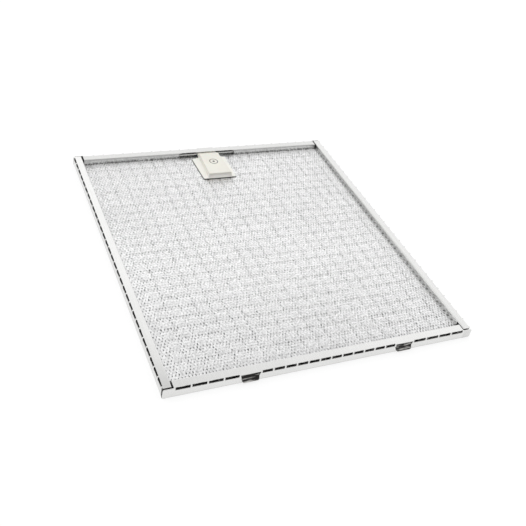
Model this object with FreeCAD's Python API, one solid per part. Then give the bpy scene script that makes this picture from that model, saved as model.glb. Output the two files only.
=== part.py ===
import FreeCAD, Part
import math
import os

os.makedirs("parts", exist_ok=True)

V = FreeCAD.Vector

# Millimetres. The filter lies flat: Z = 0 is the underside of its frame, X runs across the width,
# +Y points to the edge with the latch. The origin is the middle of the underside.

# Overall size of the folded frame
WIDTH = 267.5
DEPTH = 305.0
HEIGHT = 9.0

# Frame sheet: one blank, folded into a tray with top flanges and down-turned lips
SHEET = 0.5
BEND_RADIUS = 0.6
BOTTOM_RING = 10.0
SIDE_FLANGE = 7.2
END_FLANGE = 8.0
FRONT_WALL_GAP = 1.4
BACK_WALL_GAP = 0.4
WALL_SETBACK = 1.0
FRONT_FLANGE_GAP = 0.8
BACK_FLANGE_GAP = 1.4
CORNER_ROUND = 1.8
FRONT_LIP_SETBACK = 3.5
BACK_LIP_SETBACK = 1.2

# Slots punched along the top folds, so that the flanges can be closed over the mesh by hand
SLOT_BRIDGE = 1.3
HOOK_BRIDGE = 0.9
SLOT_IN_FLANGE = 0.95
SLOT_IN_WALL = 2.2
SIDE_SLOTS = 30
BACK_OUTER_SLOTS = 12
FRONT_MIDDLE_SLOTS = 12
FRONT_OUTER_SLOTS = 4

# Mesh pack: expanded layers clamped between the lips and the bottom ring
LAYERS = 6
LAYER = 0.58
MESH_TUCK = 2.5
PILLOW_PITCH = 11.65
PILLOW_MARGIN_X = 8.25
PILLOW_MARGIN_Y = 7.0
PILLOW_SLOPE = 2.6
PILLOW_RISE = 0.7
GAP_HALF = 2.0
OUTER_GAP_STEP = 4
INNER_GAP_STEP = 8

# How far the latch bolt and the front hooks stand out of the frame
REACH = 2.0

# How far a cut runs past the face that it opens, and the turn below which a path counts as straight
OVERCUT = 1.0
STRAIGHT_TURN = 1e-6

# Latch: a moulded slider on the mesh, its tail under the back flange and its bolt through the back wall
LATCH_CLEARANCE = 0.3
CROWN_PROUD = 1.3
CROWN_GAP = 4.4
CROWN_LENGTH = 36.7
CROWN_FRONT_HALF = 11.6
CROWN_BACK_HALF = 10.1
CROWN_PLATE = 1.5
CROWN_EDGE = 0.5
CROWN_DRAFT = 1.0
NOSE = 1.1
NOSE_SILL = 0.5
WING_FRONT_HALF = 16.9
WING_BACK_HALF = 17.8
WING_LENGTH = 36.3
WING_CORNER = 1.5
WING_RAMP = 7.0
WING_PLATE = 0.5
WING_RISE = 0.7
RECESS_SIDE = 1.0
RECESS_DEPTH = 1.4
RECESS_LIP = 1.1
MARK_RADIUS = 4.4
MARK_RING = 0.7
MARK_DOT = 1.2
MARK_DEPTH = 0.35
MARK_FROM_FRONT = 21.0
TAIL_HEIGHT = 2.6
BOLT_HALF = 7.0
BOLT_HEIGHT = 1.6
BOLT_BEVEL = 1.0

# Wire spring behind the back lip, and the openings in the frame that the latch needs
WIRE = 1.6
WIRE_HALF_SPAN = 36.0
NOTCH_HALF = 27.0
NOTCH_DEPTH = 0.7
NOTCH_SLANT = 1.4
LIP_WINDOW_HALF = 30.0

# Front hooks: folded from spring steel strip, hung in windows of the front wall
HOOK_OFFSET = 66.9
HOOK_STEEL = 0.5
HOOK_CLEARANCE = 0.4
HOOK_BEND = 0.9
HOOK_TOP_WIDTH = 15.6
HOOK_TIP_WIDTH = 11.4
HOOK_FACE_TOP = 3.4
HOOK_FACE_BOTTOM = 1.9
HOOK_TIP_Z = 1.0
WINDOW_SIDE_GAP = 0.3
WINDOW_BOTTOM = 0.95

# Values that follow from the ones above
HALF_W = WIDTH / 2
HALF_D = DEPTH / 2
MESH_FLOOR = SHEET
MESH_CLAMPED = MESH_FLOOR + LAYERS * LAYER
PILLOW_TOP = MESH_CLAMPED + PILLOW_RISE
PILLOW_START_X = -HALF_W + SIDE_FLANGE + PILLOW_MARGIN_X
PILLOW_START_Y = -HALF_D + END_FLANGE + PILLOW_MARGIN_Y
PILLOW_COLUMNS = math.floor((HALF_W - SIDE_FLANGE - PILLOW_START_X) / PILLOW_PITCH)
PILLOW_ROWS = math.floor((HALF_D - END_FLANGE - PILLOW_START_Y) / PILLOW_PITCH)
FLANGE_EDGE = HALF_D - END_FLANGE
LIP_BACK_FACE = FLANGE_EDGE + SHEET
MESH_HALF_X = HALF_W - SIDE_FLANGE + SHEET + MESH_TUCK
MESH_HALF_Y = LIP_BACK_FACE + MESH_TUCK
SIDE_FRONT = -HALF_D + SHEET + FRONT_WALL_GAP
SIDE_BACK = HALF_D - SHEET - BACK_WALL_GAP
FRONT_RUN = HALF_W - SIDE_FLANGE - FRONT_FLANGE_GAP
BACK_RUN = HALF_W - SIDE_FLANGE - BACK_FLANGE_GAP
LATCH_BOTTOM = PILLOW_TOP + LATCH_CLEARANCE
LATCH_TOP = HEIGHT + CROWN_PROUD
CROWN_BACK = FLANGE_EDGE - CROWN_GAP
CROWN_FRONT = CROWN_BACK - CROWN_LENGTH
LATCH_FRONT = CROWN_FRONT - NOSE
WING_BACK = LATCH_FRONT + WING_LENGTH
WIRE_Y = LIP_BACK_FACE + LATCH_CLEARANCE + WIRE / 2
WIRE_Z = LATCH_BOTTOM + WIRE / 2
TAIL_BACK = HALF_D - SHEET - 2 * LATCH_CLEARANCE
BOLT_TIP = HALF_D + REACH


def box(x0, x1, y0, y1, z0, z1):
    return Part.makeBox(x1 - x0, y1 - y0, z1 - z0, V(x0, y0, z0))


def polygon_face(points):
    return Part.Face(Part.makePolygon(points + [points[0]]))


def strip_section(path, thickness, radii):
    """Closed section of a bent strip. The path is its middle line, in (along, up) pairs, and each
    inner corner has a bend radius of its own; a radius of zero leaves a sharp fold."""
    half = thickness / 2
    sides = {+1: [], -1: []}
    count = len(path)
    for i in range(count):
        here = V(path[i][0], path[i][1], 0)
        if i > 0:
            into = (here - V(path[i - 1][0], path[i - 1][1], 0)).normalize()
        if i < count - 1:
            out = (V(path[i + 1][0], path[i + 1][1], 0) - here).normalize()
        if i == 0:
            into = out
        if i == count - 1:
            out = into
        turn = math.atan2(into.x * out.y - into.y * out.x, into.dot(out))
        normal_in = V(-into.y, into.x, 0)
        normal_out = V(-out.y, out.x, 0)
        radius = radii[i - 1] if 0 < i < count - 1 else 0.0
        for side in sides:
            if abs(turn) < STRAIGHT_TURN:
                sides[side].append((here + normal_in * (side * half),))
            elif radius == 0.0:
                mitre = (normal_in + normal_out).normalize() * (side * half / math.cos(turn / 2))
                sides[side].append((here + mitre,))
            else:
                back = radius * math.tan(abs(turn) / 2)
                hand = math.copysign(1.0, turn)
                start = here - into * back
                end = here + out * back
                centre = start + normal_in * (hand * radius)
                own = radius - hand * side * half
                middle = (here - centre).normalize() * own + centre
                sides[side].append((centre + (start - centre).normalize() * own, middle,
                                    centre + (end - centre).normalize() * own))
    edges = []

    def run(corners):
        last = None
        for corner in corners:
            if last is not None:
                edges.append(Part.makeLine(last, corner[0]))
            if len(corner) == 3:
                edges.append(Part.Arc(corner[0], corner[1], corner[2]).toShape())
            last = corner[-1]
        return last

    left_end = run(sides[+1])
    backwards = [tuple(reversed(corner)) for corner in reversed(sides[-1])]
    edges.append(Part.makeLine(left_end, backwards[0][0]))
    right_end = run(backwards)
    edges.append(Part.makeLine(right_end, sides[+1][0][0]))
    return Part.Face(Part.Wire(Part.__sortEdges__(edges)))


def placed(section, origin, along, up, length):
    """Stand a flat section up in space and extrude it along its own normal."""
    normal = along.cross(up)
    matrix = FreeCAD.Matrix(along.x, up.x, normal.x, origin.x,
                            along.y, up.y, normal.y, origin.y,
                            along.z, up.z, normal.z, origin.z,
                            0, 0, 0, 1)
    standing = section.copy()
    standing.Placement = FreeCAD.Placement(matrix)
    return standing.extrude(normal * length)


def channel_section(flange):
    """Section of one side of the frame, measured inwards from the outer face of its wall."""
    middle = SHEET / 2
    path = [(BOTTOM_RING, middle),
            (middle, middle),
            (middle, HEIGHT - middle),
            (flange - middle, HEIGHT - middle),
            (flange - middle, MESH_CLAMPED)]
    return strip_section(path, SHEET, [BEND_RADIUS, 0.0, BEND_RADIUS])


def closed_solid(faces):
    """Solid inside a closed set of faces."""
    shell = Part.makeShell(faces)
    shell.sewShape()
    solid = Part.makeSolid(shell)
    if solid.Volume < 0:
        solid.reverse()
    return solid


def prism_between(lower, upper):
    """Solid with flat sides between two outlines of the same number of corners."""
    faces = [polygon_face(lower), polygon_face(upper)]
    for k in range(len(lower)):
        n = (k + 1) % len(lower)
        faces.append(polygon_face([lower[k], lower[n], upper[n], upper[k]]))
    return closed_solid(faces)


def slot_runs(start, end, count):
    """Start and end of each slot when a run of a fold is divided evenly."""
    pitch = (end - start + SLOT_BRIDGE) / count
    length = pitch - SLOT_BRIDGE
    return [(start + i * pitch, start + i * pitch + length) for i in range(count)]


def hook_window_half(z):
    """Half width of the tapering window in the front wall at a given height."""
    share = (z - WINDOW_BOTTOM) / (HEIGHT - SHEET - WINDOW_BOTTOM)
    width = HOOK_TIP_WIDTH + share * (HOOK_TOP_WIDTH - HOOK_TIP_WIDTH)
    return width / 2 + WINDOW_SIDE_GAP


def make_end(flange_run, wall_gap):
    """One end of the frame, at the front. Its wall runs from corner to corner, but its flange only
    between the side flanges."""
    end = placed(channel_section(END_FLANGE), V(-HALF_W, -HALF_D, 0), V(0, 1, 0), V(0, 0, 1), WIDTH)
    behind_wall = -HALF_D + SHEET
    round_z = HEIGHT - CORNER_ROUND
    for hand in (-1, 1):
        x0, x1 = sorted((hand * flange_run, hand * (HALF_W + OVERCUT)))
        end = end.cut(box(x0, x1, behind_wall, -HALF_D + END_FLANGE + OVERCUT,
                          MESH_CLAMPED - OVERCUT, HEIGHT + OVERCUT))
        x0, x1 = sorted((hand * (HALF_W - 2 * BEND_RADIUS), hand * (HALF_W + OVERCUT)))
        end = end.cut(box(x0, x1, behind_wall + wall_gap, -HALF_D + BOTTOM_RING + OVERCUT,
                          -OVERCUT, SHEET + OVERCUT))
        x0, x1 = sorted((hand * HALF_W, hand * (HALF_W - CORNER_ROUND)))
        corner = box(x0, x1, -HALF_D - OVERCUT, behind_wall, round_z, HEIGHT + OVERCUT)
        round_off = Part.makeCylinder(CORNER_ROUND, SHEET + 3 * OVERCUT,
                                      V(hand * (HALF_W - CORNER_ROUND), -HALF_D - 2 * OVERCUT, round_z),
                                      V(0, 1, 0))
        end = end.cut(corner.cut(round_off))
    return end


def make_frame():

    # Left and right sides run between the end walls, and their lips stop short of the end lips
    left = placed(channel_section(SIDE_FLANGE), V(-HALF_W, SIDE_BACK, 0), V(1, 0, 0), V(0, 0, 1),
                  SIDE_BACK - SIDE_FRONT)
    lip_ends = ((-HALF_D, -FLANGE_EDGE + FRONT_LIP_SETBACK), (FLANGE_EDGE - BACK_LIP_SETBACK, HALF_D))
    for y0, y1 in lip_ends:
        left = left.cut(box(-HALF_W + SIDE_FLANGE - SHEET - BEND_RADIUS, -HALF_W + SIDE_FLANGE + OVERCUT,
                            y0, y1, MESH_CLAMPED - OVERCUT, HEIGHT - SHEET))
    right = left.mirror(V(0, 0, 0), V(1, 0, 0))
    front = make_end(FRONT_RUN, FRONT_WALL_GAP)
    back = make_end(BACK_RUN, BACK_WALL_GAP).mirror(V(0, 0, 0), V(0, 1, 0))
    frame = left.fuse([right, front, back]).removeSplitter()

    cutters = []
    slot_floor = HEIGHT - SLOT_IN_WALL
    # Perforated folds
    side_margin = WALL_SETBACK + SLOT_BRIDGE
    for y0, y1 in slot_runs(SIDE_FRONT + side_margin, SIDE_BACK - side_margin, SIDE_SLOTS):
        for hand in (-1, 1):
            x0, x1 = sorted((hand * (HALF_W + OVERCUT), hand * (HALF_W - SLOT_IN_FLANGE)))
            cutters.append(box(x0, x1, y0, y1, slot_floor, HEIGHT + OVERCUT))
    beside_hook = hook_window_half(HEIGHT) + HOOK_BRIDGE
    inner = HOOK_OFFSET - beside_hook
    outer = HOOK_OFFSET + beside_hook
    front_end = FRONT_RUN - SLOT_BRIDGE
    front_runs = slot_runs(-inner, inner, FRONT_MIDDLE_SLOTS)
    front_runs += slot_runs(outer, front_end, FRONT_OUTER_SLOTS)
    front_runs += slot_runs(-front_end, -outer, FRONT_OUTER_SLOTS)
    for x0, x1 in front_runs:
        cutters.append(box(x0, x1, -HALF_D - OVERCUT, -HALF_D + SLOT_IN_FLANGE, slot_floor, HEIGHT + OVERCUT))
    over_bolt = BOLT_HALF + LATCH_CLEARANCE + SLOT_BRIDGE
    back_end = BACK_RUN - SLOT_BRIDGE
    back_runs = slot_runs(over_bolt, back_end, BACK_OUTER_SLOTS)
    back_runs += slot_runs(-back_end, -over_bolt, BACK_OUTER_SLOTS)
    for x0, x1 in back_runs:
        cutters.append(box(x0, x1, HALF_D - SLOT_IN_FLANGE, HALF_D + OVERCUT, slot_floor, HEIGHT + OVERCUT))

    # The side walls stop a little short of the ends of their flanges
    for hand in (-1, 1):
        x0, x1 = sorted((hand * (HALF_W - SHEET), hand * (HALF_W + OVERCUT)))
        for y0, y1 in ((SIDE_FRONT, SIDE_FRONT + WALL_SETBACK), (SIDE_BACK - WALL_SETBACK, SIDE_BACK)):
            cutters.append(box(x0, x1, y0, y1, SHEET + BEND_RADIUS, HEIGHT + OVERCUT))

    # Tapering windows for the hooks
    for hand in (-1, 1):
        outline = []
        for z, turn in ((WINDOW_BOTTOM, -1), (WINDOW_BOTTOM, 1), (HEIGHT - SHEET, 1), (HEIGHT - SHEET, -1)):
            outline.append(V(hand * HOOK_OFFSET + turn * hook_window_half(z), -HALF_D - OVERCUT, z))
        cutters.append(polygon_face(outline).extrude(V(0, OVERCUT + SHEET + BEND_RADIUS, 0)))

    # Notch with slanted ends in the back flange, window in the back lip, and the hole for the bolt
    notch_plan = [(NOTCH_HALF + NOTCH_SLANT, FLANGE_EDGE - OVERCUT),
                  (NOTCH_HALF + NOTCH_SLANT, FLANGE_EDGE),
                  (NOTCH_HALF, FLANGE_EDGE + NOTCH_DEPTH)]
    notch_plan += [(-x, y) for x, y in reversed(notch_plan)]
    notch = polygon_face([V(x, y, HEIGHT - SHEET - OVERCUT) for x, y in notch_plan])
    cutters.append(notch.extrude(V(0, 0, SHEET + 2 * OVERCUT)))
    cutters.append(box(-LIP_WINDOW_HALF, LIP_WINDOW_HALF, FLANGE_EDGE - OVERCUT, LIP_BACK_FACE + BEND_RADIUS,
                       MESH_CLAMPED - OVERCUT, HEIGHT - SHEET))
    cutters.append(box(-BOLT_HALF - LATCH_CLEARANCE, BOLT_HALF + LATCH_CLEARANCE, HALF_D - SHEET - OVERCUT,
                       HALF_D + OVERCUT, LATCH_BOTTOM - LATCH_CLEARANCE,
                       LATCH_BOTTOM + BOLT_HEIGHT + LATCH_CLEARANCE))
    return frame.cut(Part.makeCompound(cutters)).removeSplitter()


def gap_positions(step, offset):
    """Grid crossings that carry a gap: every step-th one, staggered from row to row."""
    found = []
    for i in range(1, PILLOW_COLUMNS):
        for j in range(1, PILLOW_ROWS):
            even = (i + offset) % step == 0 and (j + offset) % step == 0
            odd = (i + offset) % step == step // 2 and (j + offset) % step == step // 2
            if even or odd:
                found.append((i, j))
    return found


def crossing(i, j):
    return PILLOW_START_X + i * PILLOW_PITCH, PILLOW_START_Y + j * PILLOW_PITCH


def diamond(i, j, z):
    x, y = crossing(i, j)
    return [V(x + GAP_HALF, y, z), V(x, y + GAP_HALF, z), V(x - GAP_HALF, y, z), V(x, y - GAP_HALF, z)]


def sheet_outline(z):
    return [V(-MESH_HALF_X, -MESH_HALF_Y, z), V(MESH_HALF_X, -MESH_HALF_Y, z),
            V(MESH_HALF_X, MESH_HALF_Y, z), V(-MESH_HALF_X, MESH_HALF_Y, z)]


def loop(points):
    return Part.makePolygon(points + [points[0]])


def pierced_face(outline, holes):
    """Flat face with openings."""
    return Part.makeFace([loop(outline)] + [loop(hole) for hole in holes], "Part::FaceMakerBullseye")


def make_flat_layer(index, step):
    floor = MESH_FLOOR + index * LAYER
    holes = [diamond(i, j, floor) for i, j in gap_positions(step, index)]
    return pierced_face(sheet_outline(floor), holes).extrude(V(0, 0, LAYER))


def make_pillow_layer():
    """The top layer: a sheet whose field is pressed into square pillows that meet in narrow grooves,
    with diamond gaps where four pillows meet."""
    floor = MESH_CLAMPED - LAYER
    groove = MESH_CLAMPED
    gaps = set(gap_positions(OUTER_GAP_STEP, 0))
    faces = []
    for i in range(PILLOW_COLUMNS):
        for j in range(PILLOW_ROWS):
            corners = ((i, j), (i + 1, j), (i + 1, j + 1), (i, j + 1))
            foot = [V(*crossing(*c), groove) for c in corners]
            middle = (foot[0] + foot[2]) * 0.5
            inset = 1 - 2 * PILLOW_SLOPE / PILLOW_PITCH
            crest = [middle + (p - middle) * inset + V(0, 0, PILLOW_RISE) for p in foot]
            faces.append(polygon_face(crest))
            for k in range(4):
                n = (k + 1) % 4
                along = (foot[n] - foot[k]).normalize() * GAP_HALF
                hip = GAP_HALF / 2 / PILLOW_SLOPE
                start = [foot[k]]
                end = [foot[n]]
                if corners[k] in gaps:
                    start = [foot[k] + (crest[k] - foot[k]) * hip, foot[k] + along]
                if corners[n] in gaps:
                    end = [foot[n] - along, foot[n] + (crest[n] - foot[n]) * hip]
                faces.append(polygon_face(start + end + [crest[n], crest[k]]))
                if corners[k] in gaps:
                    before = (foot[k - 1] - foot[k]).normalize() * GAP_HALF
                    drop = V(0, 0, -LAYER)
                    faces.append(polygon_face([foot[k] + along, foot[k] + (crest[k] - foot[k]) * hip,
                                               foot[k] + before, foot[k] + before + drop,
                                               foot[k] + along + drop]))
    rim = []
    last_x = PILLOW_COLUMNS
    last_y = PILLOW_ROWS
    rim += [V(*crossing(i, 0), groove) for i in range(last_x)]
    rim += [V(*crossing(last_x, j), groove) for j in range(last_y)]
    rim += [V(*crossing(last_x - i, last_y), groove) for i in range(last_x)]
    rim += [V(*crossing(0, last_y - j), groove) for j in range(last_y)]
    faces.append(pierced_face(sheet_outline(groove), [rim]))
    faces.append(pierced_face(sheet_outline(floor), [diamond(i, j, floor) for i, j in sorted(gaps)]))
    upper = sheet_outline(groove)
    lower = sheet_outline(floor)
    for k in range(4):
        n = (k + 1) % 4
        faces.append(polygon_face([lower[k], lower[n], upper[n], upper[k]]))
    return closed_solid(faces)


def make_latch_slider():

    # Crown: a block that narrows towards the frame, with drafted sides and a sloping front
    def crown_outline(z, front, grow):
        taper = (CROWN_FRONT_HALF - CROWN_BACK_HALF) / CROWN_LENGTH
        front_half = CROWN_BACK_HALF + taper * (CROWN_BACK - front) + grow
        back_half = CROWN_BACK_HALF + grow
        return [V(-front_half, front, z), V(front_half, front, z),
                V(back_half, CROWN_BACK, z), V(-back_half, CROWN_BACK, z)]

    crown = prism_between(crown_outline(LATCH_BOTTOM, LATCH_FRONT, CROWN_DRAFT),
                          crown_outline(LATCH_TOP, CROWN_FRONT, 0.0))

    # Wings: low ramps along both sides, thin at their outer edges, with rounded corners
    edge_top = LATCH_BOTTOM + WING_PLATE
    ramp_top = edge_top + WING_RISE

    def wing_section(y, half):
        crest = half - WING_RAMP
        return [V(-half, y, LATCH_BOTTOM), V(half, y, LATCH_BOTTOM), V(half, y, edge_top),
                V(crest, y, ramp_top), V(-crest, y, ramp_top), V(-half, y, edge_top)]

    wings = prism_between(wing_section(LATCH_FRONT, WING_FRONT_HALF), wing_section(WING_BACK, WING_BACK_HALF))
    corners = [edge for edge in wings.Edges
               if edge.BoundBox.ZLength > edge.BoundBox.XLength + edge.BoundBox.YLength]
    wings = wings.makeFillet(WING_CORNER, corners)

    # Tail under the flange, and the bolt with its bevelled tip
    tail = box(-CROWN_BACK_HALF, CROWN_BACK_HALF, CROWN_BACK - OVERCUT, TAIL_BACK,
               LATCH_BOTTOM, LATCH_BOTTOM + TAIL_HEIGHT)
    bolt_top = LATCH_BOTTOM + BOLT_HEIGHT
    bolt_side = [V(-BOLT_HALF, TAIL_BACK - OVERCUT, LATCH_BOTTOM),
                 V(-BOLT_HALF, BOLT_TIP - BOLT_BEVEL, LATCH_BOTTOM),
                 V(-BOLT_HALF, BOLT_TIP, LATCH_BOTTOM + BOLT_BEVEL),
                 V(-BOLT_HALF, BOLT_TIP, bolt_top),
                 V(-BOLT_HALF, TAIL_BACK - OVERCUT, bolt_top)]
    bolt = polygon_face(bolt_side).extrude(V(2 * BOLT_HALF, 0, 0))
    body = crown.fuse([wings, tail, bolt]).removeSplitter()

    # Rounded upper rim of the crown
    rim = [edge for edge in body.Edges if edge.BoundBox.ZMin > LATCH_TOP - CROWN_EDGE / 2]
    body = body.makeFillet(CROWN_EDGE, rim)

    # Finger recess under the front edge, the wire's groove, the hollow underside, and a ring with a dot
    recess_half = CROWN_FRONT_HALF - RECESS_SIDE
    roof = LATCH_TOP - RECESS_LIP
    recess = polygon_face([V(-recess_half, LATCH_FRONT - OVERCUT, edge_top),
                           V(-recess_half, LATCH_FRONT + NOSE_SILL, edge_top),
                           V(-recess_half, CROWN_FRONT + RECESS_DEPTH, roof),
                           V(-recess_half, LATCH_FRONT - OVERCUT, roof)])
    recess = recess.extrude(V(2 * recess_half, 0, 0))
    groove = box(-CROWN_BACK_HALF - OVERCUT, CROWN_BACK_HALF + OVERCUT,
                 WIRE_Y - WIRE / 2 - LATCH_CLEARANCE, WIRE_Y + WIRE / 2 + LATCH_CLEARANCE / 2,
                 LATCH_BOTTOM - OVERCUT, WIRE_Z + WIRE / 2 + LATCH_CLEARANCE / 2)
    hollow = box(-CROWN_BACK_HALF + CROWN_PLATE, CROWN_BACK_HALF - CROWN_PLATE,
                 CROWN_FRONT + RECESS_DEPTH + CROWN_PLATE, CROWN_BACK - CROWN_PLATE,
                 LATCH_BOTTOM - OVERCUT, LATCH_TOP - CROWN_PLATE)
    mark_place = V(0, CROWN_FRONT + MARK_FROM_FRONT, LATCH_TOP - MARK_DEPTH)
    disc, core, dot = [Part.makeCylinder(radius, OVERCUT, mark_place)
                       for radius in (MARK_RADIUS, MARK_RADIUS - MARK_RING, MARK_DOT)]
    for tool in (recess, groove, hollow, disc.cut(core), dot):
        body = body.cut(tool)
    return body.removeSplitter()


def make_latch_spring():
    """Straight spring wire behind the back lip. The slider holds its middle, the lip its ends."""
    return Part.makeCylinder(WIRE / 2, 2 * WIRE_HALF_SPAN, V(-WIRE_HALF_SPAN, WIRE_Y, WIRE_Z), V(1, 0, 0))


def make_front_hook(hand):
    """Hairpin of spring steel: a foot on the bottom ring, an inner leg up to the flange, and an outer
    leg that leans out through the window and ends in a tapering tip."""
    middle = HOOK_STEEL / 2
    inner_leg = MESH_HALF_Y + HOOK_CLEARANCE + middle
    wall_side = HALF_D - SHEET - HOOK_CLEARANCE
    under_flange = HEIGHT - SHEET - HOOK_CLEARANCE - middle
    face = HALF_D + REACH - middle
    path = [(-wall_side, MESH_FLOOR + middle),
            (-inner_leg, MESH_FLOOR + middle),
            (-inner_leg, under_flange),
            (-wall_side + 2 * HOOK_BEND, under_flange),
            (-face, HOOK_FACE_TOP),
            (-face, HOOK_FACE_BOTTOM),
            (-face + HOOK_BEND, HOOK_TIP_Z)]
    section = strip_section(path, HOOK_STEEL, [HOOK_STEEL, HOOK_BEND, HOOK_BEND, HOOK_BEND, HOOK_STEEL])
    half = HOOK_TOP_WIDTH / 2
    strip = placed(section, V(hand * HOOK_OFFSET - half, 0, 0), V(0, 1, 0), V(0, 0, 1), HOOK_TOP_WIDTH)
    inside = box(hand * HOOK_OFFSET - half, hand * HOOK_OFFSET + half, -wall_side + HOOK_BEND, -MESH_HALF_Y,
                 0, HEIGHT)
    low = HOOK_TIP_WIDTH / 2
    foot = box(hand * HOOK_OFFSET - low, hand * HOOK_OFFSET + low, -wall_side, -MESH_HALF_Y, 0, WINDOW_BOTTOM)
    leg = []
    for z, turn in ((WINDOW_BOTTOM, -1), (WINDOW_BOTTOM, 1), (HEIGHT - SHEET, 1), (HEIGHT - SHEET, -1)):
        leg.append(V(hand * HOOK_OFFSET + turn * (hook_window_half(z) - WINDOW_SIDE_GAP), -HALF_D - REACH, z))
    outside = polygon_face(leg).extrude(V(0, HALF_D + REACH - wall_side + HOOK_BEND, 0))
    return strip.common(inside.fuse([foot, outside]))


pieces = {
    "frame": make_frame(),
    "mesh_top": make_pillow_layer(),
    "latch_slider": make_latch_slider(),
    "latch_spring": make_latch_spring(),
    "front_hook_left": make_front_hook(-1),
    "front_hook_right": make_front_hook(1),
    "mesh_bottom": make_flat_layer(0, OUTER_GAP_STEP),
}
for number in range(1, LAYERS - 1):
    pieces["mesh_inner_%d" % number] = make_flat_layer(LAYERS - 1 - number, INNER_GAP_STEP)

for name, shape in pieces.items():
    solid = shape.Solids[0]
    solid.exportStep("parts/%s.step" % name)
    box_of = shape.BoundBox
    print("%-18s %-9s solids %d valid %s volume %9.1f  x %7.2f %7.2f  y %7.2f %7.2f  z %5.2f %5.2f" % (
        name, shape.ShapeType, len(shape.Solids), shape.isValid(), shape.Volume,
        box_of.XMin, box_of.XMax, box_of.YMin, box_of.YMax, box_of.ZMin, box_of.ZMax))
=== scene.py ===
import math

import bmesh
import bpy
from mathutils import Matrix, Vector


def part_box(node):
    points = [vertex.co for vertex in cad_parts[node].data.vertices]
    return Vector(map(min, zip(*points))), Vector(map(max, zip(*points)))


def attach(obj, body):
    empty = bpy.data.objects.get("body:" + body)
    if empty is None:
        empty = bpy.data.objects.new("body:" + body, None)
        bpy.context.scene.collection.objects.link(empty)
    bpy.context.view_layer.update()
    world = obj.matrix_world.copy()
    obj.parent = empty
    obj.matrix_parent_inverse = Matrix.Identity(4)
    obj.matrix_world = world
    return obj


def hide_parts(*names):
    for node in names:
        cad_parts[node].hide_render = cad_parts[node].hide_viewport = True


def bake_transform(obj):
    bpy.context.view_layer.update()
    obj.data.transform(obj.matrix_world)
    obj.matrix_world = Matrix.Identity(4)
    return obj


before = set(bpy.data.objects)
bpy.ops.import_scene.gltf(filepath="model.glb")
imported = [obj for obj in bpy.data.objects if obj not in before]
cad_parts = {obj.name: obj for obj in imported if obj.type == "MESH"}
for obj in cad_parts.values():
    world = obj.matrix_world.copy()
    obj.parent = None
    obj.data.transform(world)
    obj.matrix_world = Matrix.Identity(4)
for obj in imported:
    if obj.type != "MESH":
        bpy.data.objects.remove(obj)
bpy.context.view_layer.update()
MM = 0.001

# View of the photograph: places in metres, lens and sensor in mm
CAMERA_PLACE = Vector((-0.2615, -0.4832, 0.4168))
CAMERA_AIM = Vector((0.0069, -0.0391, 0.0090))
CAMERA_ROLL = math.radians(12.62)
CAMERA_LENS = 51.84
CAMERA_SENSOR = 36.0
CAMERA_SHIFT = -0.037
CAMERA_NEAR = 10.0 * MM

# Sky: level on the viewer's side, at the horizon and straight above, where 1 is its full level
SKY_STRENGTH = 1.25
SKY_FRONT = 0.45
SKY_HORIZON = 0.5
SKY_ZENITH = 0.68

# Lamps: name, place and power of each
LAMP_SIZE = 1.2
LAMPS = (("key_light", Vector((-0.9, 0.5, 1.5)), 2.0),
         ("fill_light", Vector((1.1, -0.6, 1.2)), 2.0))

# Floor: reach, drop below the filter, grey that light falls on, and grey and glow that are seen
FLOOR_REACH = 6.0
FLOOR_DROP = 0.2 * MM
FLOOR_GREY = 0.80
FLOOR_SEEN_GREY = 0.30
FLOOR_GLOW = 0.76

# Pillow grid pressed into the mesh, with values across and along the filter
PILLOW_PITCH = 11.65 * MM
PILLOW_START = Vector((-117.8, -138.3)) * MM
PILLOW_COUNT = (21, 24)
PILLOW_SLOPES = (2.4 * MM, 2.9 * MM)
GROOVE_DEPTHS = (0.62, 0.57)

# Expanded metal: length of a diamond across and along the filter, strand width and thickness
FINE_CELL = (2.65 * MM, 5.825 * MM)
FINE_STRAND = 0.95 * MM
COARSE_CELL = (8.85 * MM, 4.45 * MM)
COARSE_STRAND = 1.35 * MM
FOIL = 0.2 * MM
WELD = 0.01 * MM

# Unevenness of a layer: tilt of its strands and the spread of it, waves in height and in plan
STRAND_TILT = 0.06 * MM
TILT_SPREAD = 0.1 * MM
MESH_WOBBLE = 0.05 * MM
MESH_DRIFT = 0.6 * MM
MESH_WAVES = 130.0

# How far the diamonds are pressed shut, where 1 is fully: everywhere, on top of a pillow, and by chance
ALL_CLOSING = 0.1
PILLOW_CLOSING = 0.58
RANDOM_CLOSING = 0.4

# Press on the margins around the pillows, where 1 is as on a pillow: in general, and at the right
MARGIN_PRESS = (0.7, 1.0)

# How much wider the diamonds stand in the front right corner and towards the back, and from where to where
CORNER_OPENING = 0.2
CORNER_ACROSS = (0.0, 120.0 * MM)
CORNER_ALONG = (-140.0 * MM, -30.0 * MM)
BACK_OPENING = 0.22
BACK_ALONG = (-140.0 * MM, 80.0 * MM)

# Frame: sheet, width of the flanges at the sides and at the ends, and width and setback of the painted
# shade in the front corner joints
FRAME_SHEET = 0.5 * MM
FRAME_FLANGES = (7.2 * MM, 8.0 * MM)
JOINT_SHADE_WIDTH = 0.8 * MM
JOINT_SHADE_SETBACK = 0.3 * MM

# Half of the stretch beside the latch where light gets into the back channel
OPEN_BACK_HALF = 36.0 * MM

# Latch: place and half size of its round mark, depth of the mark, back of its finger recess
MARK_PLACE = 124.4 * MM
MARK_REACH = 5.0 * MM
MARK_DEPTH = 0.05 * MM
RECESS_BACK = 105.2 * MM
RECESS_DEPTH = 1.0 * MM

# Wings of the latch: half widths at the front and at the back, length, and heights between which they and
# their painted light end
WING_HALVES = (16.9 * MM, 17.8 * MM)
WING_LENGTH = 36.3 * MM
WING_TOP = (1.2 * MM, 1.6 * MM)

# Lighter tips of the hooks: height and half of the fade
HOOK_TIP = 2.2 * MM
HOOK_TIP_FADE = 0.4 * MM

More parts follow.
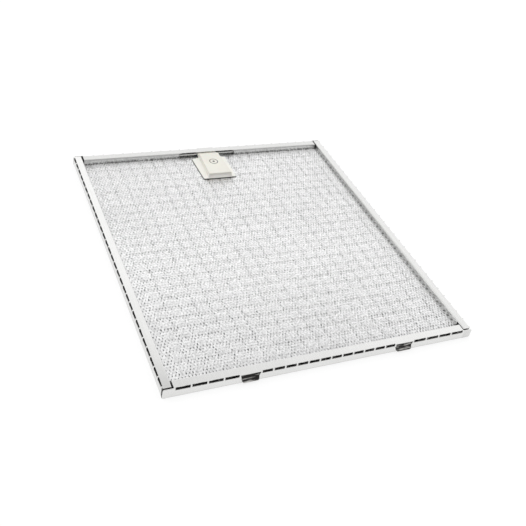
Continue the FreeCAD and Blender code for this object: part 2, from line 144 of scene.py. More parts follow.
# Wire spring of the latch: fixed to the frame from one place outwards, held by the latch up to the other
WIRE_SIDES = 14
WIRE_STEPS = 16
WIRE_FIXED_FROM = 31.0 * MM
WIRE_HELD_FROM = 10.5 * MM

# Colours, where a pair goes from the dark to the light tone
BLACK = (0.0, 0.0, 0.0, 1)
WHITE = (1.0, 1.0, 1.0, 1)
SHEET_TONES = ((0.735, 0.735, 0.725, 1), (0.80, 0.80, 0.79, 1))
# Tone of the painted light on the end lips
END_LIP_PAINTED_TONE = (1.0, 1.0, 0.99, 1)
# Painted shade inside the folded channel, and lighter painted shade where light gets in
CHANNEL_SHADE_TONES = ((0.05, 0.05, 0.048, 1), (0.5, 0.5, 0.49, 1))
OPEN_CHANNEL_SHADE_TONES = ((0.2, 0.2, 0.195, 1), (0.95, 0.95, 0.94, 1))
PLASTIC_TONES = ((0.86, 0.84, 0.765, 1), (0.90, 0.88, 0.80, 1))
# Painted light on the wings and in the finger recess of the latch
WING_PAINTED_LIGHT = (0.95, 0.935, 0.875, 1)
RECESS_PAINTED_LIGHT = (0.98, 0.965, 0.91, 1)
MARK_TONE = (0.12, 0.115, 0.10, 1)
WIRE_TONES = ((0.74, 0.74, 0.72, 1), (0.94, 0.94, 0.92, 1))
STEEL_AND_GLINT_TONES = ((0.03, 0.029, 0.028, 1), (0.55, 0.54, 0.52, 1))
STEEL_TIP_TONE = (0.62, 0.61, 0.59, 1)

# Roughness, where a pair goes from one end of the finish's pattern to the other
SHEET_ROUGHNESS = (0.16, 0.30)
CHANNEL_ROUGHENING = 0.3
FOIL_ROUGHNESS = (0.25, 0.49)
PLASTIC_ROUGHNESS = (0.42, 0.54)
WIRE_ROUGHNESS = (0.18, 0.36)
STEEL_ROUGHNESS = (0.42, 0.30)

# Share of the finer pattern in the tone of the sheet and of the foil
STREAK_SHARE = 0.55
STRAND_SHARE = 0.92

# Greys of the foil, for the outer layers and for each inner one from the top, the inner ones darker as
# painted shade
OUTER_FOIL = (0.69, 0.97)
INNER_FOIL_SHADED_GREYS = ((0.45, 0.70), (0.25, 0.45), (0.2, 0.3), (0.2, 0.3))

# Painted shade on the sides of the frame and on the front end of its left flange, and how far back that end
# reaches
SHEET_PAINTED_SHADE = {"back": 0.17, "front": 0.05, "right": 0.11, "left": 0.06, "left end": 0.16}
LEFT_END_SHADE_REACH = 45.0 * MM

# How far painted shade darkens the side lips and the front corner joints of the frame, and painted light
# brightens the end lips
SIDE_LIP_PAINTED_SHADE = 0.24
END_LIP_PAINTED_LIGHT = 0.8
JOINT_PAINTED_SHADE = 0.85

# Painted shade on the mesh towards the front, the share of it that the right side loses, and the painted
# shade beneath the latch, along the back lip and under the flanges
FRONT_SHADE = 0.12
FRONT_RELIEF = 0.8
MESH_PAINTED_SHADE = 0.7

# Painted shade on the mesh: rim around the latch, fade in front of the back lip, front corners, and share
# lost in open channels
LATCH_RIM = 0.6 * MM
BACK_LIP_FADE = (2.2 * MM, 1.2 * MM)
SHADE_CORNER_REACH = (3.0 * MM, 4.0 * MM)
OPEN_RIM_RELIEF = 0.7


class Signal:
    """One output socket of a node tree, usable in arithmetic."""

    def __init__(self, tree, socket):
        self.tree = tree
        self.socket = socket

    def maths(self, operation, first, second=0.0):
        return add_node(self.tree, "ShaderNodeMath", {"operation": operation}, {0: first, 1: second})

    def __add__(self, other):
        return self.maths("ADD", self, other)

    def __radd__(self, other):
        return self.maths("ADD", other, self)

    def __sub__(self, other):
        return self.maths("SUBTRACT", self, other)

    def __rsub__(self, other):
        return self.maths("SUBTRACT", other, self)

    def __mul__(self, other):
        return self.maths("MULTIPLY", self, other)

    def __rmul__(self, other):
        return self.maths("MULTIPLY", other, self)

    def __truediv__(self, other):
        return self.maths("DIVIDE", self, other)

    def smaller(self, other):
        return self.maths("MINIMUM", self, other)

    def larger(self, other):
        return self.maths("MAXIMUM", self, other)

    def fraction(self):
        return self.maths("FRACT", self)

    def size(self):
        return self.maths("ABSOLUTE", self)

    def part(self, axis):
        return add_node(self.tree, "ShaderNodeSeparateXYZ", {}, {0: self}, axis)

    def between(self, first, second):
        """Value that goes from first at 0 to second at 1."""
        return first + (second - first) * self

    def step(self, low, high):
        """Smooth step from 0 at low to 1 at high."""
        return add_node(self.tree, "ShaderNodeMapRange", {"interpolation_type": "SMOOTHSTEP"},
                        {"Value": self, "From Min": low, "From Max": high})

    def above(self, limit):
        """1 where the value is over the limit, with a very short ramp."""
        ramp = 0.03 * MM
        return self.step(limit - ramp, limit + ramp)


def add_node(tree, kind, settings=None, inputs=None, output=0):
    """Add a node, set its options, then fill or link its sockets."""
    node = tree.nodes.new(kind)
    for name, value in (settings or {}).items():
        setattr(node, name, value)
    for name, value in (inputs or {}).items():
        if isinstance(value, Signal):
            tree.links.new(value.socket, node.inputs[name])
        else:
            node.inputs[name].default_value = value
    return None if output is None else Signal(tree, node.outputs[output])


def add_object(name, data):
    """Put a new object into the scene."""
    made = bpy.data.objects.new(name, data)
    bpy.context.scene.collection.objects.link(made)
    return made


# Materials

def new_material(name):
    material = bpy.data.materials.new(name)
    material.use_nodes = True
    tree = material.node_tree
    tree.nodes.clear()
    return material, tree


def object_place(tree, scale=(1.0, 1.0, 1.0)):
    place = add_node(tree, "ShaderNodeTexCoord", output="Object")
    return add_node(tree, "ShaderNodeMapping", {}, {"Vector": place, "Scale": scale})


def noise(tree, vector, scale, detail=2.0, roughness=0.5):
    return add_node(tree, "ShaderNodeTexNoise", {},
                    {"Vector": vector, "Scale": scale, "Detail": detail, "Roughness": roughness})


def grey(level):
    return (level, level, level, 1)


def mix_colour(tree, share, first, second):
    return add_node(tree, "ShaderNodeMix", {"data_type": "RGBA"}, {0: share, 6: first, 7: second}, 2)


def finish_surface(tree, inputs, height, strength, distance=0.1 * MM):
    """Principled surface with a fine relief."""
    inputs["Normal"] = add_node(tree, "ShaderNodeBump", {},
                                {"Height": height, "Strength": strength, "Distance": distance})
    shader = add_node(tree, "ShaderNodeBsdfPrincipled", {}, inputs)
    add_node(tree, "ShaderNodeOutputMaterial", {}, {"Surface": shader}, None)


def inside_channel(place):
    """1 on the faces of the frame sheet that look into the folded channel, 0 on all others."""
    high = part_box("frame")[1]
    middle = FRAME_SHEET / 2
    along_x, along_y = place.part(0).size(), place.part(1).size()
    past_lip = along_x.above(high.x - FRAME_FLANGES[0] + middle)
    past_lip = past_lip.larger(along_y.above(high.y - FRAME_FLANGES[1] + middle))
    past_wall = along_x.above(high.x - middle).larger(along_y.above(high.y - middle))
    height = place.part(2)
    return past_lip * (1 - past_wall) * height.above(middle) * (1 - height.above(high.z - middle))


def painted_sheet_shade(place):
    """How much painted shade darkens the sheet: most on the flange with the latch and at the front end of
    the left flange, less along the right side, and a little on the front flange and the left wall."""
    low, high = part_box("frame")
    x, y = place.part(0), place.part(1)
    top = place.part(2).above(high.z - FRAME_SHEET)
    between = 1 - x.size().above(high.x - FRAME_FLANGES[0])
    back = SHEET_PAINTED_SHADE["back"] * y.above(high.y - FRAME_FLANGES[1] - FRAME_SHEET)
    front = SHEET_PAINTED_SHADE["front"] * (1 - y.above(low.y + FRAME_FLANGES[1] + FRAME_SHEET))
    right = SHEET_PAINTED_SHADE["right"] * x.above(high.x - FRAME_FLANGES[0] - FRAME_SHEET)
    left = SHEET_PAINTED_SHADE["left"] * (1 - x.above(low.x + FRAME_SHEET / 2))
    left_flange = 1 - x.above(low.x + FRAME_FLANGES[0])
    left_end = SHEET_PAINTED_SHADE["left end"] * left_flange * (1 - y.step(low.y, low.y + LEFT_END_SHADE_REACH))
    return (top * between * (back + front)).larger(right).larger(left).larger(top * left_end)


def lip_faces(place, axis):
    """1 on the lips along the sides (axis 0) or along the ends (axis 1), fading out below the top fold."""
    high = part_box("frame")[1]
    mesh_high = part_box("mesh_inner_1")[1]
    lip = high[axis] - FRAME_FLANGES[axis]
    along = place.part(axis).size()
    off_wall = 1 - place.part(1 - axis).size().above(high[1 - axis] - FRAME_SHEET / 2)
    height = place.part(2)
    fold = 4 * FRAME_SHEET
    below_fold = 1 - height.step(high.z - fold, high.z - FRAME_SHEET)
    upright = height.above(mesh_high.z) * below_fold
    return along.above(lip - FRAME_SHEET) * (1 - along.above(lip + FRAME_SHEET / 2)) * upright * off_wall


def flange_joints(place):
    """1 along the cut ends of the front flange, where painted shade darkens the corner joints."""
    low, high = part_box("frame")
    along_x, y = place.part(0).size(), place.part(1)
    side_edge = high.x - FRAME_FLANGES[0] - JOINT_SHADE_SETBACK
    at_end = along_x.above(side_edge - JOINT_SHADE_WIDTH) * (1 - along_x.above(side_edge))
    on_flange = y.above(low.y + FRAME_SHEET) * (1 - y.above(low.y + FRAME_FLANGES[1] + FRAME_SHEET))
    return at_end * on_flange * place.part(2).above(high.z / 2)


def open_channel(place):
    """1 where light gets into the folded channel: along the front, and at the back beside the latch."""
    low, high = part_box("frame")
    x, y = place.part(0), place.part(1)
    front = 1 - y.above(low.y + FRAME_FLANGES[1])
    back = y.above(high.y - FRAME_FLANGES[1]) * (1 - x.size().above(OPEN_BACK_HALF))
    return front.larger(back)


def satin_sheet():
    """Rolled aluminium sheet: faint streaks along the rolling direction and softer cloudy patches. Painted
    shade darkens parts of the flanges and walls and the side lips, and painted light brightens the end
    lips. The inside of the folded channel is rough and speckled with painted shade, lighter where light
    gets in, and the front corner joints carry painted shade."""
    material, tree = new_material("satin_aluminium_sheet")
    place = object_place(tree)
    rolled = object_place(tree, scale=(900.0, 14.0, 900.0))
    streaks = noise(tree, rolled, scale=1.0, detail=3.0, roughness=0.6)
    clouds = noise(tree, place, scale=38.0, detail=3.0, roughness=0.55)
    tone = STREAK_SHARE * streaks + (1 - STREAK_SHARE) * clouds
    colour = mix_colour(tree, tone.step(low=0.25, high=0.75), *SHEET_TONES)
    # Painted shade on parts of the flanges and walls
    colour = mix_colour(tree, painted_sheet_shade(place), colour, BLACK)
    # Painted shade on the side lips and painted light on the end lips
    colour = mix_colour(tree, SIDE_LIP_PAINTED_SHADE * lip_faces(place, 0), colour, BLACK)
    colour = mix_colour(tree, END_LIP_PAINTED_LIGHT * lip_faces(place, 1), colour, END_LIP_PAINTED_TONE)
    speckle = noise(tree, place, scale=900.0).step(low=0.35, high=0.65)
    # Painted shade inside the folded channel, lighter where light gets in
    closed_inside = mix_colour(tree, speckle, *CHANNEL_SHADE_TONES)
    open_inside = mix_colour(tree, speckle, *OPEN_CHANNEL_SHADE_TONES)
    inside = mix_colour(tree, open_channel(place), closed_inside, open_inside)
    channel_share = inside_channel(place)
    colour = mix_colour(tree, channel_share, colour, inside)
    # Painted shade in the front corner joints
    colour = mix_colour(tree, JOINT_PAINTED_SHADE * flange_joints(place), colour, BLACK)
    roughness = tone.between(*SHEET_ROUGHNESS) + CHANNEL_ROUGHENING * channel_share
    finish_surface(tree, {"Base Color": colour, "Metallic": 1.0, "Roughness": roughness},
                   streaks, strength=0.08)
    return material


def beneath_latch(place):
    """1 on the mesh that the latch covers and a narrow rim around it, where shade is painted."""
    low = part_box("latch_slider")[0]
    spread = (WING_HALVES[1] - WING_HALVES[0]) / WING_LENGTH
    behind = place.part(1) - low.y
    outside = (place.part(0).size() - spread * behind).above(WING_HALVES[0] + LATCH_RIM)
    return (1 - outside) * behind.above(-LATCH_RIM) * (1 - behind.above(WING_LENGTH))


def against_back_lip(tree, place):
    """Dotted line of painted shade where the mesh goes under the back lip."""
    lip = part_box("frame")[1].y - FRAME_FLANGES[1]
    dots = noise(tree, place, scale=700.0, detail=1.0).step(low=0.42, high=0.56)
    return dots * place.part(1).step(lip - BACK_LIP_FADE[0], lip - BACK_LIP_FADE[1])


def under_flanges(place):
    """1 on the rim of the mesh that is tucked under the flanges, less in the open channels, and 1 in the
    two front corners of the mesh: where shade is painted."""
    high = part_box("frame")[1]
    side_lip = high.x - FRAME_FLANGES[0]
    end_lip = high.y - FRAME_FLANGES[1]
    along_x, y = place.part(0).size(), place.part(1)
    rim = along_x.above(side_lip + FRAME_SHEET / 2).larger(y.size().above(end_lip + FRAME_SHEET / 2))
    corners = along_x.above(side_lip - SHADE_CORNER_REACH[0]) * (1 - y.above(SHADE_CORNER_REACH[1] - end_lip))
    return (rim * (1 - OPEN_RIM_RELIEF * open_channel(place))).larger(corners)


def mesh_foil(name, dark, light):
    """Expanded foil: each strand a little different in tone and gloss, with painted shade towards the
    front.
    Above the lowest layer, painted shade darkens it beneath the latch, along the back lip, under the
    flanges and in the front corners."""
    material, tree = new_material(name)
    place = object_place(tree)
    low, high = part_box("mesh_top")
    strands = noise(tree, place, scale=650.0)
    patches = noise(tree, place, scale=60.0)
    tone = STRAND_SHARE * strands + (1 - STRAND_SHARE) * patches
    colour = mix_colour(tree, tone.step(low=0.36, high=0.64), grey(dark), grey(light))
    towards_front = 1 - place.part(1).step(low.y, 0.0)
    towards_right = place.part(0).step(0.0, high.x)
    shade = FRONT_SHADE * towards_front * (1 - FRONT_RELIEF * towards_right)
    # Painted shade beneath the latch, along the back lip, under the flanges and in the front corners
    painted_shade = beneath_latch(place).larger(against_back_lip(tree, place)).larger(under_flanges(place))
    upper = place.part(2).above(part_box("mesh_bottom")[1].z)
    shade = shade.larger(MESH_PAINTED_SHADE * painted_shade * upper)
    colour = mix_colour(tree, shade, colour, BLACK)
    roughness = strands.between(*FOIL_ROUGHNESS)
    finish_surface(tree, {"Base Color": colour, "Metallic": 1.0, "Roughness": roughness},
                   noise(tree, place, scale=1800.0), strength=0.15, distance=0.05 * MM)
    return material


def cream_plastic():
    """Off-white moulding with a fine spark-eroded texture and slight warm patches. Its wings and its
    finger recess carry painted light, and its round mark is dark grey."""
    material, tree = new_material("cream_moulded_plastic")
    place = object_place(tree)
    low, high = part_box("latch_slider")
    y, height = place.part(1), place.part(2)
    warm = noise(tree, place, scale=55.0)
    grain = noise(tree, place, scale=5200.0)
    colour = mix_colour(tree, warm.step(low=0.3, high=0.7), *PLASTIC_TONES)
    # Painted light on the wings and in the finger recess
    wings = 1 - height.step(low.z + WING_TOP[0], low.z + WING_TOP[1])
    colour = mix_colour(tree, wings, colour, WING_PAINTED_LIGHT)
    recess = (1 - y.above(RECESS_BACK)) * (1 - height.above(high.z - RECESS_DEPTH))
    colour = mix_colour(tree, recess, colour, RECESS_PAINTED_LIGHT)
    from_mark = place.part(0).size().larger((y - MARK_PLACE).size())
    mark = (1 - from_mark.above(MARK_REACH)) * (1 - height.above(high.z - MARK_DEPTH))
    colour = mix_colour(tree, mark, colour, MARK_TONE)
    roughness = grain.between(*PLASTIC_ROUGHNESS)
    finish_surface(tree, {"Base Color": colour, "Roughness": roughness, "IOR": 1.5,
                          "Subsurface Weight": 0.05, "Subsurface Scale": 2.0 * MM},
                   grain, strength=0.06, distance=0.04 * MM)
    return material


def bright_wire():
    """Drawn spring wire: fine lines along its length."""
    material, tree = new_material("bright_spring_wire")
    drawn = object_place(tree, scale=(40.0, 2600.0, 2600.0))
    lines = noise(tree, drawn, scale=1.0)
    colour = mix_colour(tree, lines, *WIRE_TONES)
    roughness = lines.between(*WIRE_ROUGHNESS)
    finish_surface(tree, {"Base Color": colour, "Metallic": 1.0, "Roughness": roughness},
                   lines, strength=0.1)
    return material


def dark_spring_steel():
    """Dark oiled strip with lighter streaks across its face, which are painted highlights, and a lighter
    tip.
    """
    material, tree = new_material("dark_spring_steel")
    streak_place = object_place(tree, scale=(90.0, 600.0, 1100.0))
    streaks = noise(tree, streak_place, scale=1.0, detail=3.0, roughness=0.6)
    # The lighter streaks are painted highlights
    glints = streaks.step(low=0.50, high=0.66)
    colour = mix_colour(tree, glints, *STEEL_AND_GLINT_TONES)
    height = object_place(tree).part(2)
    tip = 1 - height.step(HOOK_TIP - HOOK_TIP_FADE, HOOK_TIP + HOOK_TIP_FADE)
    colour = mix_colour(tree, tip, colour, STEEL_TIP_TONE)
    roughness = glints.between(*STEEL_ROUGHNESS)
    finish_surface(tree, {"Base Color": colour, "Metallic": 0.85, "Roughness": roughness},
                   streaks, strength=0.12)
    return material


def white_floor():
    """Floor that the camera and reflections see as white around the filter. Under the filter, and for
    the light that it throws back, it is plain pale grey."""
    material, tree = new_material("white_floor")
    path = tree.nodes.new("ShaderNodeLightPath")
    seen = Signal(tree, path.outputs["Is Camera Ray"])
    for name in ("Is Glossy Ray", "Is Transmission Ray"):
        seen = seen.larger(Signal(tree, path.outputs[name]))
    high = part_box("frame")[1]
    place = object_place(tree)
    beside = place.part(0).size().above(high.x - FRAME_SHEET)
    beside = beside.larger(place.part(1).size().above(high.y - FRAME_SHEET))
    plain = add_node(tree, "ShaderNodeBsdfDiffuse", {}, {"Color": grey(FLOOR_GREY)})
    faint = add_node(tree, "ShaderNodeBsdfDiffuse", {}, {"Color": grey(FLOOR_SEEN_GREY)})
    glow = add_node(tree, "ShaderNodeEmission", {}, {"Color": WHITE, "Strength": FLOOR_GLOW})
    shown = add_node(tree, "ShaderNodeAddShader", {}, {0: faint, 1: glow})
    surface = add_node(tree, "ShaderNodeMixShader", {}, {0: seen * beside, 1: plain, 2: shown})
    add_node(tree, "ShaderNodeOutputMaterial", {}, {"Surface": surface}, None)
    return material


# Expanded mesh layers

def cell_ring(cell, strand, tilt_along):
    """Half of each of the four strands around one diamond. The strands are ridged above and below,
    and the inner edges are tilted, as in metal that was slit and pulled open. Each inner corner
    keeps the way to the middle of the diamond, along which the opening can be pressed smaller."""
    half = Vector((cell[0] / 2, cell[1] / 2))
    clear = half.x * half.y / half.length
    inner = 1 - strand / 2 / clear
    ring = bmesh.new()
    inwards = ring.verts.layers.float_vector.new("inwards")
    upper, lower, edge = [], [], []
    for x, y in ((1, 0), (0, 1), (-1, 0), (0, -1)):
        place = Vector((x * half.x, y * half.y, 0.0))
        upper.append(ring.verts.new(place + Vector((0, 0, FOIL / 2))))
        lower.append(ring.verts.new(place - Vector((0, 0, FOIL / 2))))
        rise = -STRAND_TILT * (x if tilt_along == "X" else y)
        corner = ring.verts.new(place * inner + Vector((0, 0, rise)))
        corner[inwards] = place * -inner
        edge.append(corner)
    for k in range(4):
        n = (k + 1) % 4
        ring.faces.new((upper[k], upper[n], edge[n], edge[k]))
        ring.faces.new((lower[n], lower[k], edge[k], edge[n]))
    mesh = bpy.data.meshes.new("cell_ring")
    ring.to_mesh(mesh)
    ring.free()
    return mesh


def pillow_share(place, axis):
    """How far up its pillow a point is along one axis: 0 outside the grid, 1 on top, and in a groove
    as much as the groove's depth leaves. Also, whether the point is inside the grid."""
    border = 0.001
    across = (place - PILLOW_START[axis]) / PILLOW_PITCH
    inside = across.step(-border, border) * (PILLOW_COUNT[axis] - across).step(-border, border)
    share = across.fraction()
    from_groove = share.smaller(1 - share) * PILLOW_PITCH
    rise = from_groove.step(0.0, PILLOW_SLOPES[axis])
    return (1 - GROOVE_DEPTHS[axis] * (1 - rise)) * inside, inside


def along_back_lip(place):
    """1 in the last half row of pillows and on the margin behind it, which bulges up to the back lip."""
    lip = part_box("frame")[1].y - FRAME_FLANGES[1]
    crest = PILLOW_START.y + (PILLOW_COUNT[1] - 0.5) * PILLOW_PITCH
    return place.above(crest) * (1 - place.step(lip - FRAME_SHEET, lip))


def layer_inputs(tree):
    """Add the sockets of the layer's node tree and return what is given to it."""
    kinds = {"Geometry": "Geometry", "Cell X": "Float", "Cell Y": "Float", "Columns": "Int", "Rows": "Int",
             "Height": "Float", "Pillow Rise": "Float", "Wobble": "Float", "Drift": "Float",
             "Seed": "Float", "Finish": "Material"}
    for name, kind in kinds.items():
        tree.interface.new_socket(name=name, in_out="INPUT", socket_type="NodeSocket" + kind)
    tree.interface.new_socket(name="Geometry", in_out="OUTPUT", socket_type="NodeSocketGeometry")
    entry = tree.nodes.new("NodeGroupInput")
    return {name: Signal(tree, entry.outputs[name]) for name in kinds}


def position(tree):
    return add_node(tree, "GeometryNodeInputPosition")


def vector(tree, x, y, z):
    return add_node(tree, "ShaderNodeCombineXYZ", {}, {0: x, 1: y, 2: z})


def stored(tree, name, kind="FLOAT"):
    return add_node(tree, "GeometryNodeInputNamedAttribute", {"data_type": kind}, {"Name": name})


def welded(tree, sheet):
    return add_node(tree, "GeometryNodeMergeByDistance", {}, {"Geometry": sheet, "Distance": WELD})


def moved(tree, sheet, offset):
    return add_node(tree, "GeometryNodeSetPosition", {}, {"Geometry": sheet, "Offset": offset})


def repeated_rings(tree, given):
    """Cell rings in two staggered grids. Each ring keeps two random values, for its opening and tilt."""
    grids = tree.nodes.new("GeometryNodeJoinGeometry")
    for fewer in (0, 1):
        columns = given["Columns"] - fewer
        rows = given["Rows"] - fewer
        grid = add_node(tree, "GeometryNodeMeshGrid", {}, {
            "Size X": (columns - 1) * given["Cell X"], "Size Y": (rows - 1) * given["Cell Y"],
            "Vertices X": columns, "Vertices Y": rows})
        tree.links.new(grid.socket, grids.inputs[0])
    rings = add_node(tree, "GeometryNodeInstanceOnPoints", {},
                     {"Points": Signal(tree, grids.outputs[0]), "Instance": given["Geometry"]})
    for name, more in (("opening", 0.0), ("tilting", 1.0)):
        chance = add_node(tree, "ShaderNodeTexWhiteNoise", {"noise_dimensions": "4D"},
                          {"Vector": position(tree), "W": given["Seed"] + more})
        rings = add_node(tree, "GeometryNodeStoreNamedAttribute",
                         {"data_type": "FLOAT", "domain": "INSTANCE"},
                         {"Geometry": rings, "Name": name, "Value": chance})
    return add_node(tree, "GeometryNodeRealizeInstances", {}, {"Geometry": rings})


def sharp_rim(tree, sheet):
    """Bring the open rim of the sheet, where an edge has a single face, to a sharp edge."""
    place = position(tree)
    faces = add_node(tree, "GeometryNodeInputMeshEdgeNeighbors")
    rim = add_node(tree, "FunctionNodeCompare", {"data_type": "INT", "operation": "EQUAL"},
                   {2: faces, 3: 1})
    flat = vector(tree, place.part(0), place.part(1), 0.0)
    return add_node(tree, "GeometryNodeSetPosition", {},
                    {"Geometry": sheet, "Selection": rim, "Position": flat})


def pillow_press(tree):
    """How far up the pillows a point is, and how hard the mesh is pressed there."""
    place = position(tree)
    x, y = place.part(0), place.part(1)
    share_x, inside_x = pillow_share(x, 0)
    share_y, inside_y = pillow_share(y, 1)
    pillow = share_x * share_y.larger(along_back_lip(y))
    margin = (x.above(0.0) * (1 - inside_x)).between(*MARGIN_PRESS)
    return pillow, pillow.larger(margin * (1 - inside_x * inside_y))


def opening_shift(tree, pressed):
    """Move of the inner corners that presses each diamond more or less shut and tilts its strands."""
    place = position(tree)
    x, y = place.part(0), place.part(1)
    inwards = stored(tree, "inwards", "FLOAT_VECTOR")
    corner = x.step(*CORNER_ACROSS) * (1 - y.step(*CORNER_ALONG))
    looser = CORNER_OPENING * corner + BACK_OPENING * y.step(*BACK_ALONG)
    chance = (stored(tree, "opening") - 0.5) * RANDOM_CLOSING
    closing = ALL_CLOSING + pressed * PILLOW_CLOSING + chance - looser
    shift = add_node(tree, "ShaderNodeVectorMath", {"operation": "SCALE"}, {0: inwards, "Scale": closing})
    length = add_node(tree, "ShaderNodeVectorMath", {"operation": "LENGTH"}, {0: inwards}, "Value")
    shortest_way = 0.1 * MM
    lift = (stored(tree, "tilting") - 0.5) * TILT_SPREAD * length.above(shortest_way)
    return add_node(tree, "ShaderNodeVectorMath", {"operation": "ADD"},
                    {0: shift, 1: vector(tree, 0.0, 0.0, lift)})


def sheet_shift(tree, given, pillow):
    """Move of the sheet to its height, with the pillows and the unevenness of a sheet laid by hand."""
    place = position(tree)
    seed_gap = 10.0
    uneven = []
    for axis in range(3):
        seed = given["Seed"] + seed_gap * axis
        uneven.append(add_node(tree, "ShaderNodeTexNoise", {"noise_dimensions": "4D"},
                               {"Vector": place, "W": seed, "Scale": MESH_WAVES, "Detail": 1.0}))
    rise = given["Height"] + pillow * given["Pillow Rise"]
    return vector(tree, (uneven[0] - 0.5) * given["Drift"], (uneven[1] - 0.5) * given["Drift"],
                  rise + (uneven[2] - 0.5) * given["Wobble"])


def layer_tree():
    """Node tree that repeats a cell ring in two staggered grids, welds the rings into one sheet and
    presses the sheet into pillows."""
    tree = bpy.data.node_groups.new("expanded_layer", "GeometryNodeTree")
    given = layer_inputs(tree)
    sheet = welded(tree, repeated_rings(tree, given))
    sheet = welded(tree, sharp_rim(tree, sheet))
    pillow, pressed = pillow_press(tree)
    sheet = moved(tree, sheet, opening_shift(tree, pressed))
    sheet = moved(tree, sheet, sheet_shift(tree, given, pillow))
    sheet = add_node(tree, "GeometryNodeSetMaterial", {}, {"Geometry": sheet, "Material": given["Finish"]})
    leave = tree.nodes.new("NodeGroupOutput")
    tree.links.new(sheet.socket, leave.inputs[0])
    return tree


def plain_mesh(obj, name):
    """Turn what the modifiers give into a plain mesh object of that name."""
    graph = bpy.context.evaluated_depsgraph_get()
    mesh = bpy.data.meshes.new_from_object(obj.evaluated_get(graph))
    bpy.data.objects.remove(obj)
    mesh.name = name
    return add_object(name, mesh)


def mesh_layer(tree, node, cell, strand, tilt_along, finish, rise, seed):
    """One layer of expanded metal in the place of its solid."""
    low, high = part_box(node)
    middle = high.z - rise - STRAND_TILT - (FOIL + TILT_SPREAD + MESH_WOBBLE) / 2
    piece = add_object("layer_cell", cell_ring(cell, strand, tilt_along))
    modifier = piece.modifiers.new("layer", "NODES")
    modifier.node_group = tree
    width = high.x - low.x - MESH_DRIFT
    depth = high.y - low.y - MESH_DRIFT
    values = {"Cell X": cell[0], "Cell Y": cell[1], "Columns": int(width / cell[0]),
              "Rows": int(depth / cell[1]), "Height": middle, "Pillow Rise": rise,
              "Wobble": MESH_WOBBLE, "Drift": MESH_DRIFT, "Seed": seed, "Finish": finish}
    for item in tree.interface.items_tree:
        if item.in_out == "INPUT" and item.name in values:
            modifier[item.identifier] = values[item.name]
    layer = plain_mesh(piece, "expanded_" + node)
    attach(layer, "filter")
    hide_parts(node)


def build_mesh_pack():
    """Fine layers on the outside. The coarse ones between them lie crosswise on each other."""
    tree = layer_tree()
    bright = mesh_foil("bright_outer_foil", *OUTER_FOIL)
    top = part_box("mesh_top")[1].z
    flat_low, flat_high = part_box("mesh_inner_1")
    rise = top - flat_high.z - (flat_high.z - flat_low.z)
    mesh_layer(tree, "mesh_top", FINE_CELL, FINE_STRAND, "X", bright, rise, 0.0)
    mesh_layer(tree, "mesh_bottom", FINE_CELL, FINE_STRAND, "X", bright, 0.0, 1.0)
    crossed = (COARSE_CELL[1], COARSE_CELL[0])
    # The inner layers are darker as painted shade
    for number, greys in enumerate(INNER_FOIL_SHADED_GREYS, 1):
        foil = mesh_foil("inner_foil_%d" % number, *greys)
        cell, tilt = (COARSE_CELL, "Y") if number % 2 else (crossed, "X")
        mesh_layer(tree, "mesh_inner_%d" % number, cell, COARSE_STRAND, tilt, foil, 0.0, 1.0 + number)


# Wire spring

def wire_tube(name, path, radius):
    """Closed round tube along a path that stays level."""
    up = Vector((0, 0, 1))
    tube = bmesh.new()
    rings = []
    for k, here in enumerate(path):
        ahead = (path[min(k + 1, len(path) - 1)] - path[max(k - 1, 0)]).normalized()
        side = ahead.cross(up)
        ring = []
        for s in range(WIRE_SIDES):
            turn = 2 * math.pi * s / WIRE_SIDES
            offset = side * math.cos(turn) + up * math.sin(turn)
            ring.append(tube.verts.new(here + offset * radius))
        rings.append(ring)
    for first, second in zip(rings, rings[1:]):
        for s in range(WIRE_SIDES):
            n = (s + 1) % WIRE_SIDES
            tube.faces.new((first[s], first[n], second[n], second[s]))
    tube.faces.new(rings[0])
    tube.faces.new(rings[-1])
    bmesh.ops.recalc_face_normals(tube, faces=tube.faces)
    mesh = bpy.data.meshes.new(name)
    tube.to_mesh(mesh)
    tube.free()
    mesh.shade_smooth()
    return mesh


def wire_half(hand, finish):
    """Half of the straight wire, from its middle out to its end, which rests behind the lip."""
    low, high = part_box("latch_spring")
    radius = (high.z - low.z) / 2
    y = low.y + radius
    z = low.z + radius
    path = [Vector((0.0, y, z))]
    for k in range(WIRE_STEPS + 1):
        x = WIRE_HELD_FROM + (WIRE_FIXED_FROM - WIRE_HELD_FROM) * k / WIRE_STEPS
        path.append(Vector((hand * x, y, z)))
    path.append(Vector((hand * high.x, y, z)))
    name = "spring_wire_left" if hand < 0 else "spring_wire_right"
    wire = add_object(name, wire_tube(name, path, radius))
    wire.data.materials.append(finish)
    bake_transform(wire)
    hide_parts("latch_spring")


def build_wire():
    finish = bright_wire()
    for hand in (-1, 1):
        wire_half(hand, finish)


# Solids that stay

def dress_nodes():
    """Give the solids that stay their finishes."""
    finishes = {"frame": satin_sheet(), "latch_slider": cream_plastic()}
    finishes["front_hook_left"] = dark_spring_steel()
    finishes["front_hook_right"] = finishes["front_hook_left"]
    for node, finish in finishes.items():
        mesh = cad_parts[node].data
        mesh.materials.clear()
        mesh.materials.append(finish)


# Studio

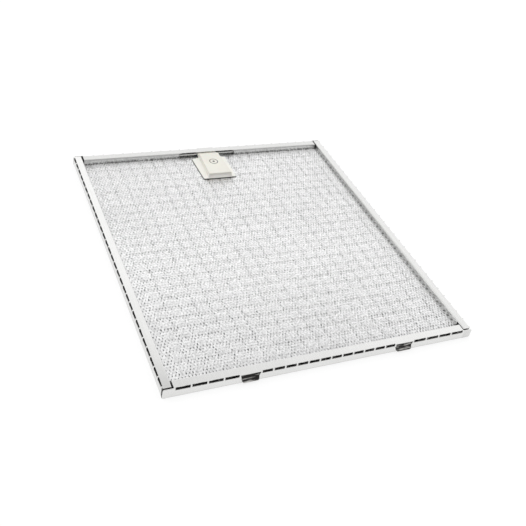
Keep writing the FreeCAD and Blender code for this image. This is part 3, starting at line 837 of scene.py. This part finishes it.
def build_sky():
    """White sky, darker on the viewer's side, towards the horizon and straight above."""
    world = bpy.data.worlds.new("studio")
    bpy.context.scene.world = world
    world.use_nodes = True
    tree = world.node_tree
    tree.nodes.clear()
    direction = add_node(tree, "ShaderNodeTexCoord", output="Generated")
    behind, height = direction.part(1), direction.part(2)
    level = behind.step(low=-0.7, high=0.25).between(SKY_FRONT, 1.0)
    level = level.larger(height.step(low=0.45, high=0.9))
    level = level * height.step(low=0.0, high=0.4).between(SKY_HORIZON, 1.0)
    level = level * height.step(low=0.66, high=0.77).between(1.0, SKY_ZENITH)
    colour = mix_colour(tree, level, BLACK, WHITE)
    sky = add_node(tree, "ShaderNodeBackground", {}, {"Color": colour, "Strength": SKY_STRENGTH})
    add_node(tree, "ShaderNodeOutputWorld", {}, {"Surface": sky}, None)


def build_floor():
    corners = [(x * FLOOR_REACH, y * FLOOR_REACH, -FLOOR_DROP)
               for x, y in ((-1, -1), (1, -1), (1, 1), (-1, 1))]
    mesh = bpy.data.meshes.new("floor")
    mesh.from_pydata(corners, [], [(0, 1, 2, 3)])
    mesh.materials.append(white_floor())
    floor = add_object("floor", mesh)


def build_lamps():
    """Large soft lamps that point at the middle of the filter."""
    for name, place, power in LAMPS:
        lamp = bpy.data.lights.new(name, "AREA")
        lamp.size = LAMP_SIZE
        lamp.energy = power
        holder = add_object(name, lamp)
        holder.location = place
        holder.rotation_mode = "QUATERNION"
        holder.rotation_quaternion = (-place).to_track_quat("-Z", "Y")


def build_camera():
    camera = add_object("camera", bpy.data.cameras.new("camera"))
    camera.data.lens = CAMERA_LENS
    camera.data.sensor_width = CAMERA_SENSOR
    camera.data.shift_x = CAMERA_SHIFT
    camera.data.clip_start = CAMERA_NEAR
    level = (CAMERA_AIM - CAMERA_PLACE).to_track_quat("-Z", "Y").to_matrix()
    turned = level @ Matrix.Rotation(CAMERA_ROLL, 3, "Z")
    camera.matrix_world = Matrix.Translation(CAMERA_PLACE) @ turned.to_4x4()
    bpy.context.scene.camera = camera


bpy.context.scene.view_settings.view_transform = "Standard"
build_sky()
build_floor()
build_lamps()
build_camera()
dress_nodes()
build_mesh_pack()
build_wire()
